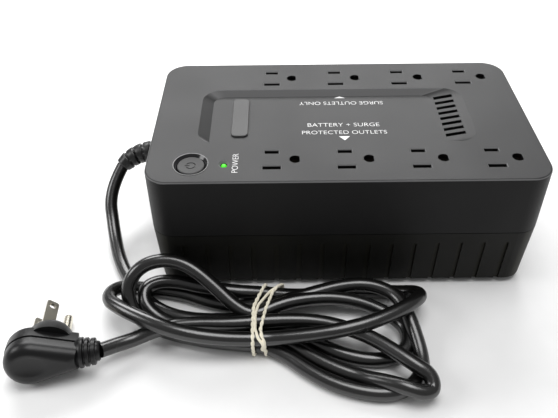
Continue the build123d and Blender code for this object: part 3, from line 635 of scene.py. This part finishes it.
def surface(name, colour, roughness, metallic=0.0, grain_scale=2500.0, grain_strength=0.2,
            variation=0.12, specular=0.5, painted_top_light=None):
    """One finish: a base colour that wavers a little, a roughness that wavers, and a fine grain; with a top
    colour, painted light is added by facing.
    """
    material, nodes, links, shader = node_material(name)
    shader.inputs["Metallic"].default_value = metallic
    shader.inputs["Specular IOR Level"].default_value = specular
    place = grain(nodes, links, shader, grain_scale, grain_strength)
    dark = tuple(c * (1 - variation) for c in colour)
    light = tuple(min(1.0, c * (1 + variation)) for c in colour)
    tint(nodes, links, place, shader.inputs["Base Color"], 60.0, dark, light)
    spread(nodes, links, place, shader.inputs["Roughness"], 25.0, roughness * 0.92, roughness * 1.08)
    # The top colour is painted light: lighter up-facing faces, painted highlights on rounded edges and
    # painted shade on slopes.
    if painted_top_light:
        paint_light_by_facing(nodes, links, shader, painted_top_light)
    return material


BASE_LEAN_RATE = 1.9 / 37.0     # the base's walls lean in towards the floor
BASE_RIM = 40.0                 # height in mm where the base is as wide as its box
GROOVE_FLOOR = 0.75             # this deep in mm and deeper is groove floor
GROOVE_SIDE = 0.45              # less deep than this is wall
GROOVE_LOOK = (0.017, 0.0165, 0.0125)


def light_grooves(material):
    """The floors of the base's grooves are a little lighter than the wall round them."""
    nodes, links = material.node_tree.nodes, material.node_tree.links
    shader = nodes["Principled BSDF"]
    low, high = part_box("base_case")
    wall = (high.y - low.y) / 2
    place = nodes.new("ShaderNodeTexCoord")
    part = nodes.new("ShaderNodeSeparateXYZ")
    links.new(place.outputs["Object"], part.inputs["Vector"])
    links.new(groove_mask(nodes, links, part, wall), groove_mix(nodes, links, shader).inputs["Factor"])


def groove_mask(nodes, links, part, wall):
    """1 on the groove floors, which lie inside the leaning wall, and 0 on the wall."""
    flip = nodes.new("ShaderNodeMath")
    flip.operation = "ABSOLUTE"
    lean = nodes.new("ShaderNodeMath")
    lean.operation = "MULTIPLY_ADD"
    lean.inputs[1].default_value = -BASE_LEAN_RATE
    depth = nodes.new("ShaderNodeMapRange")
    depth.inputs["From Min"].default_value = wall - BASE_LEAN_RATE * BASE_RIM * MM - GROOVE_FLOOR * MM
    depth.inputs["From Max"].default_value = wall - BASE_LEAN_RATE * BASE_RIM * MM - GROOVE_SIDE * MM
    depth.inputs["To Min"].default_value = 1.0
    depth.inputs["To Max"].default_value = 0.0
    links.new(part.outputs["Y"], flip.inputs[0])
    links.new(part.outputs["Z"], lean.inputs[0])
    links.new(flip.outputs[0], lean.inputs[2])
    links.new(lean.outputs[0], depth.inputs["Value"])
    return depth.outputs["Result"]


def groove_mix(nodes, links, shader):
    """Mixes the groove floors' colour into the shader's own."""
    mix = nodes.new("ShaderNodeMix")
    mix.data_type = "RGBA"
    links.new(shader.inputs["Base Color"].links[0].from_socket, mix.inputs[MIX_A])
    mix.inputs[MIX_B].default_value = (*GROOVE_LOOK, 1.0)
    links.new(mix.outputs[MIX_RESULT], shader.inputs["Base Color"])
    return mix


def glowing(name, colour, strength):
    """The lit indicator lens: clear green plastic with light in it."""
    material, nodes, links, shader = node_material(name)
    shader.inputs["Roughness"].default_value = 0.15
    shader.inputs["Emission Strength"].default_value = strength
    place = nodes.new("ShaderNodeTexCoord")
    tint(nodes, links, place, shader.inputs["Base Color"], 900.0, colour, tuple(c * 0.8 for c in colour))
    tint(nodes, links, place, shader.inputs["Emission Color"], 900.0, colour,
         tuple(min(1.0, c * 1.15) for c in colour))
    return material


FINISHES = {
    # The case's top colour is painted light on its up-facing faces and edges, not a colour of the plastic.
    "case_plastic": dict(colour=(0.0050, 0.0050, 0.0051), roughness=0.46, grain_scale=3800,
                         grain_strength=0.35, variation=0.06, specular=0.16,
                         painted_top_light=(0.040, 0.040, 0.0405)),
    "base_plastic": dict(colour=(0.0068, 0.0067, 0.0056), roughness=0.48, grain_scale=3200,
                         grain_strength=0.3, specular=0.12),
    "gloss_black": dict(colour=(0.008, 0.008, 0.009), roughness=0.16, grain_scale=900, grain_strength=0.03),
    # The top colours of the button and the badge are painted light on their up-facing faces and edges.
    "button_plastic": dict(colour=(0.006, 0.006, 0.006), roughness=0.44, grain_strength=0.15,
                           specular=0.2, painted_top_light=(0.030, 0.030, 0.0302)),
    "badge_plastic": dict(colour=(0.010, 0.010, 0.010), roughness=0.42, grain_strength=0.08,
                          specular=0.25, painted_top_light=(0.036, 0.036, 0.036)),
    "rubber_foot": dict(colour=(0.015, 0.015, 0.015), roughness=0.8, grain_scale=1500, grain_strength=0.4),
    "breaker_plastic": dict(colour=(0.012, 0.012, 0.012), roughness=0.35),
    "breaker_button": dict(colour=(0.55, 0.50, 0.42), roughness=0.4),
    "carrier_plastic": dict(colour=(0.010, 0.010, 0.010), roughness=0.55),
    "contact_brass": dict(colour=(0.62, 0.36, 0.12), roughness=0.32, metallic=1.0, grain_scale=1200),
    "screw_steel": dict(colour=(0.55, 0.55, 0.56), roughness=0.34, metallic=1.0, grain_scale=1200),
    "spring_steel": dict(colour=(0.50, 0.50, 0.52), roughness=0.3, metallic=1.0),
    "board_green": dict(colour=(0.02, 0.14, 0.05), roughness=0.45, grain_scale=900),
    "switch_black": dict(colour=(0.015, 0.015, 0.015), roughness=0.4),
    "battery_case": dict(colour=(0.06, 0.062, 0.066), roughness=0.5, grain_scale=1500),
    "foam": dict(colour=(0.05, 0.05, 0.05), roughness=0.95, grain_scale=700, grain_strength=0.7),
    "wire_red": dict(colour=(0.45, 0.02, 0.015), roughness=0.4),
    "wire_black": dict(colour=(0.015, 0.015, 0.015), roughness=0.4),
    "core_steel": dict(colour=(0.30, 0.30, 0.31), roughness=0.5, metallic=1.0, grain_scale=600),
    "winding_tape": dict(colour=(0.62, 0.42, 0.06), roughness=0.35),
    "bracket_steel": dict(colour=(0.56, 0.56, 0.55), roughness=0.4, metallic=1.0),
    "relay_case": dict(colour=(0.04, 0.09, 0.22), roughness=0.35),
    "capacitor_sleeve": dict(colour=(0.02, 0.03, 0.08), roughness=0.3),
    "aluminium": dict(colour=(0.72, 0.72, 0.73), roughness=0.36, metallic=1.0, grain_scale=900),
    "transistor_black": dict(colour=(0.018, 0.018, 0.018), roughness=0.5),
    "fuse_glass": dict(colour=(0.60, 0.62, 0.60), roughness=0.12),
    "varistor_blue": dict(colour=(0.03, 0.12, 0.40), roughness=0.4),
    "buzzer_black": dict(colour=(0.016, 0.016, 0.016), roughness=0.5),
    "cord_black": dict(colour=(0.0045, 0.0044, 0.0043), roughness=0.26, grain_scale=900,
                       grain_strength=0.10, variation=0.15, specular=0.9),
    "relief_black": dict(colour=(0.006, 0.006, 0.006), roughness=0.36, grain_scale=1200),
    "plug_plastic": dict(colour=(0.0050, 0.0050, 0.0054), roughness=0.36, grain_scale=1100,
                         grain_strength=0.14, specular=0.35),
    "band_cream": dict(colour=(0.88, 0.83, 0.68), roughness=0.6, grain_scale=1600, grain_strength=0.6),
    "blade_metal": dict(colour=(0.50, 0.47, 0.40), roughness=0.28, metallic=1.0, grain_scale=700),
    "pin_metal": dict(colour=(0.72, 0.68, 0.58), roughness=0.22, metallic=1.0, grain_scale=700),
    "marking_white": dict(colour=(0.72, 0.72, 0.72), roughness=0.55, grain_scale=2500),
}

LED_GREEN = (0.06, 0.62, 0.02)
LED_STRENGTH = 0.75

materials = {}
for finish_name, finish in FINISHES.items():
    materials[finish_name] = surface(finish_name + "_look", **finish)
light_grooves(materials["base_plastic"])
materials["led_lens"] = glowing("led_lens_look", LED_GREEN, LED_STRENGTH)


def dress_cad_nodes():
    """Give every shown CAD node the look of its material slot in the record."""
    slot_of = {}
    for part in frame["record"]["subparts"]:
        slot_of[part["node"]] = part["material_slot"]
    for name, piece in frame["nodes"].items():
        look = materials[slot_of[name]]
        for place in piece.material_slots:
            place.material = look


dress_cad_nodes()


def dress(piece, slot):
    """A new piece takes the look of its slot, and stays on the case."""
    piece.data.materials.clear()
    piece.data.materials.append(materials[slot])
    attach(piece, "case")
    return piece


# ---------------------------------------------------------------- place the soft pieces
plug = dress(make_plug(), "plug_plastic")
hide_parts("plug_body")
relief = dress(make_strain_relief(), "relief_black")
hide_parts("strain_relief")
dress(cord, "cord_black")
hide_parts("cord_lead", "cord_hank", "cord_tail")

# Stations of the band's passes over the hank, as (y, x) in mm.
BAND_LEFT = [(-103.5, -48.2), (-92, -48.3), (-82, -48.1), (-74, -45.6), (-64, -42.2)]
BAND_MIDDLE = [(-104.4, -42.4), (-102, -45.6), (-97, -47.0), (-88, -47.1), (-81, -45.8), (-71, -40),
               (-64, -33)]
BAND_RIGHT = [(-104.4, -42.0), (-101, -43.8), (-97, -44.4), (-83, -41.8), (-71, -38.4), (-64, -34)]

bands = [
    band_strand("band_left_a", BAND_LEFT, 0.62, 0.42),
    band_strand("band_left_b", BAND_LEFT, 0.62, 0.42, math.pi),
    band_strand("band_middle", BAND_MIDDLE, 0.72),
    band_strand("band_right_a", BAND_RIGHT, 0.58, 0.38, 0.6),
    band_strand("band_right_b", BAND_RIGHT, 0.58, 0.38, math.pi + 0.6),
]
for band in bands:
    dress(band, "band_cream")
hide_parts("hank_band")


def make_button_coil():
    """The power button's spring stays on its board."""
    coil = bpy.data.objects.new("button_coil", frame["nodes"]["button_spring"].data.copy())
    bpy.context.scene.collection.objects.link(coil)
    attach(coil, "case")
    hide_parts("button_spring")
    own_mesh(coil)


make_button_coil()


# ---------------------------------------------------------------- printed marks
PRINT_HEIGHT = 0.05     # the ink stands this far over the plastic
PRINT_THINNING = -0.06
RECESS_DEPTH = 3.2


def printed(name, words, size, place, turn_degrees, z):
    """Printed words centred on a place in mm."""
    data = bpy.data.curves.new(name, "FONT")
    data.body = words
    data.size = size * MM
    data.align_x = "CENTER"
    data.align_y = "CENTER"
    data.extrude = PRINT_HEIGHT / 2 * MM
    data.offset = PRINT_THINNING * MM
    piece = bpy.data.objects.new(name, data)
    bpy.context.scene.collection.objects.link(piece)
    turn = Matrix.Rotation(math.radians(turn_degrees), 4, "Z")
    piece.matrix_world = Matrix.Translation(mm(place[0], place[1], z + PRINT_HEIGHT / 2)) @ turn
    data.materials.append(materials["marking_white"])
    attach(piece, "case")


def printed_shape(name, outline, z):
    """A flat printed figure from an outline in mm."""
    def build(bm):
        low = [bm.verts.new(mm(x, y, z)) for x, y in outline]
        high = [bm.verts.new(mm(x, y, z + PRINT_HEIGHT)) for x, y in outline]
        bm.faces.new(low)
        bm.faces.new(high)
        for i in range(len(outline)):
            j = (i + 1) % len(outline)
            bm.faces.new((low[i], low[j], high[j], high[i]))
    piece = new_piece(name, build, 20.0)
    piece.data.materials.append(materials["marking_white"])
    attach(piece, "case")


TOP_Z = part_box("top_cover")[1].z / MM
RECESS_Z = TOP_Z - RECESS_DEPTH
printed("mark_power", "POWER", 4.5, (-56.2, -41.3), 90, TOP_Z)
printed("mark_front_1", "BATTERY + SURGE", 4.8, (1.0, -4.6), 0, RECESS_Z)
printed("mark_front_2", "PROTECTED OUTLETS", 4.6, (1.0, -11.6), 0, RECESS_Z)
printed("mark_back", "SURGE OUTLETS ONLY", 4.6, (1.5, 17.2), 180, RECESS_Z)
printed_shape("mark_front_arrow", [(-2.2, -15.1), (0.75, -18.7), (3.7, -15.1)], RECESS_Z)
printed_shape("mark_back_arrow", [(4.2, 22.2), (1.0, 23.9), (-2.2, 22.2)], RECESS_Z)


# ---------------------------------------------------------------- floor and light
FLOOR_HALF_SIZE = 3.0
FLOOR_DROP = 0.0002             # the floor lies this far under the feet
WORLD_STRENGTH = 0.30

# Each light's name, place, target, size and power, in metres and watts.
LIGHTS = [
    ("back_softbox", (-0.1, 0.50, 0.50), (0, -0.05, 0.03), (0.9, 0.3), 6.5),
    ("top_softbox", (0.1, -0.1, 1.2), (0, 0, 0), (0.7, 0.7), 9.0),
    ("left_softbox", (-0.9, -0.1, 0.6), (0, -0.05, 0.03), (0.4, 0.4), 3.0),
]


def make_floor():
    bm = bmesh.new()
    bmesh.ops.create_grid(bm, x_segments=1, y_segments=1, size=FLOOR_HALF_SIZE)
    mesh = bpy.data.meshes.new("floor")
    bm.to_mesh(mesh)
    bm.free()
    floor = bpy.data.objects.new("floor", mesh)
    bpy.context.scene.collection.objects.link(floor)
    floor.location.z = -FLOOR_DROP
    mesh.materials.append(surface("floor_look", colour=(0.86, 0.86, 0.86), roughness=0.9, variation=0.01,
                                  grain_scale=300, grain_strength=0.02, specular=0.1))


def area_light(name, place, target, size, power):
    data = bpy.data.lights.new(name, "AREA")
    data.shape = "RECTANGLE"
    data.size, data.size_y = size
    data.energy = power
    light = bpy.data.objects.new(name, data)
    light.location = place
    light.rotation_euler = (Vector(target) - Vector(place)).to_track_quat("-Z", "Y").to_euler()
    bpy.context.scene.collection.objects.link(light)


def make_lights():
    world = bpy.data.worlds.new("studio")
    world.use_nodes = True
    world.node_tree.nodes["Background"].inputs["Color"].default_value = (1.0, 1.0, 1.0, 1.0)
    world.node_tree.nodes["Background"].inputs["Strength"].default_value = WORLD_STRENGTH
    bpy.context.scene.world = world
    for light in LIGHTS:
        area_light(*light)


make_floor()
make_lights()
bpy.context.scene.view_settings.view_transform = "Standard"
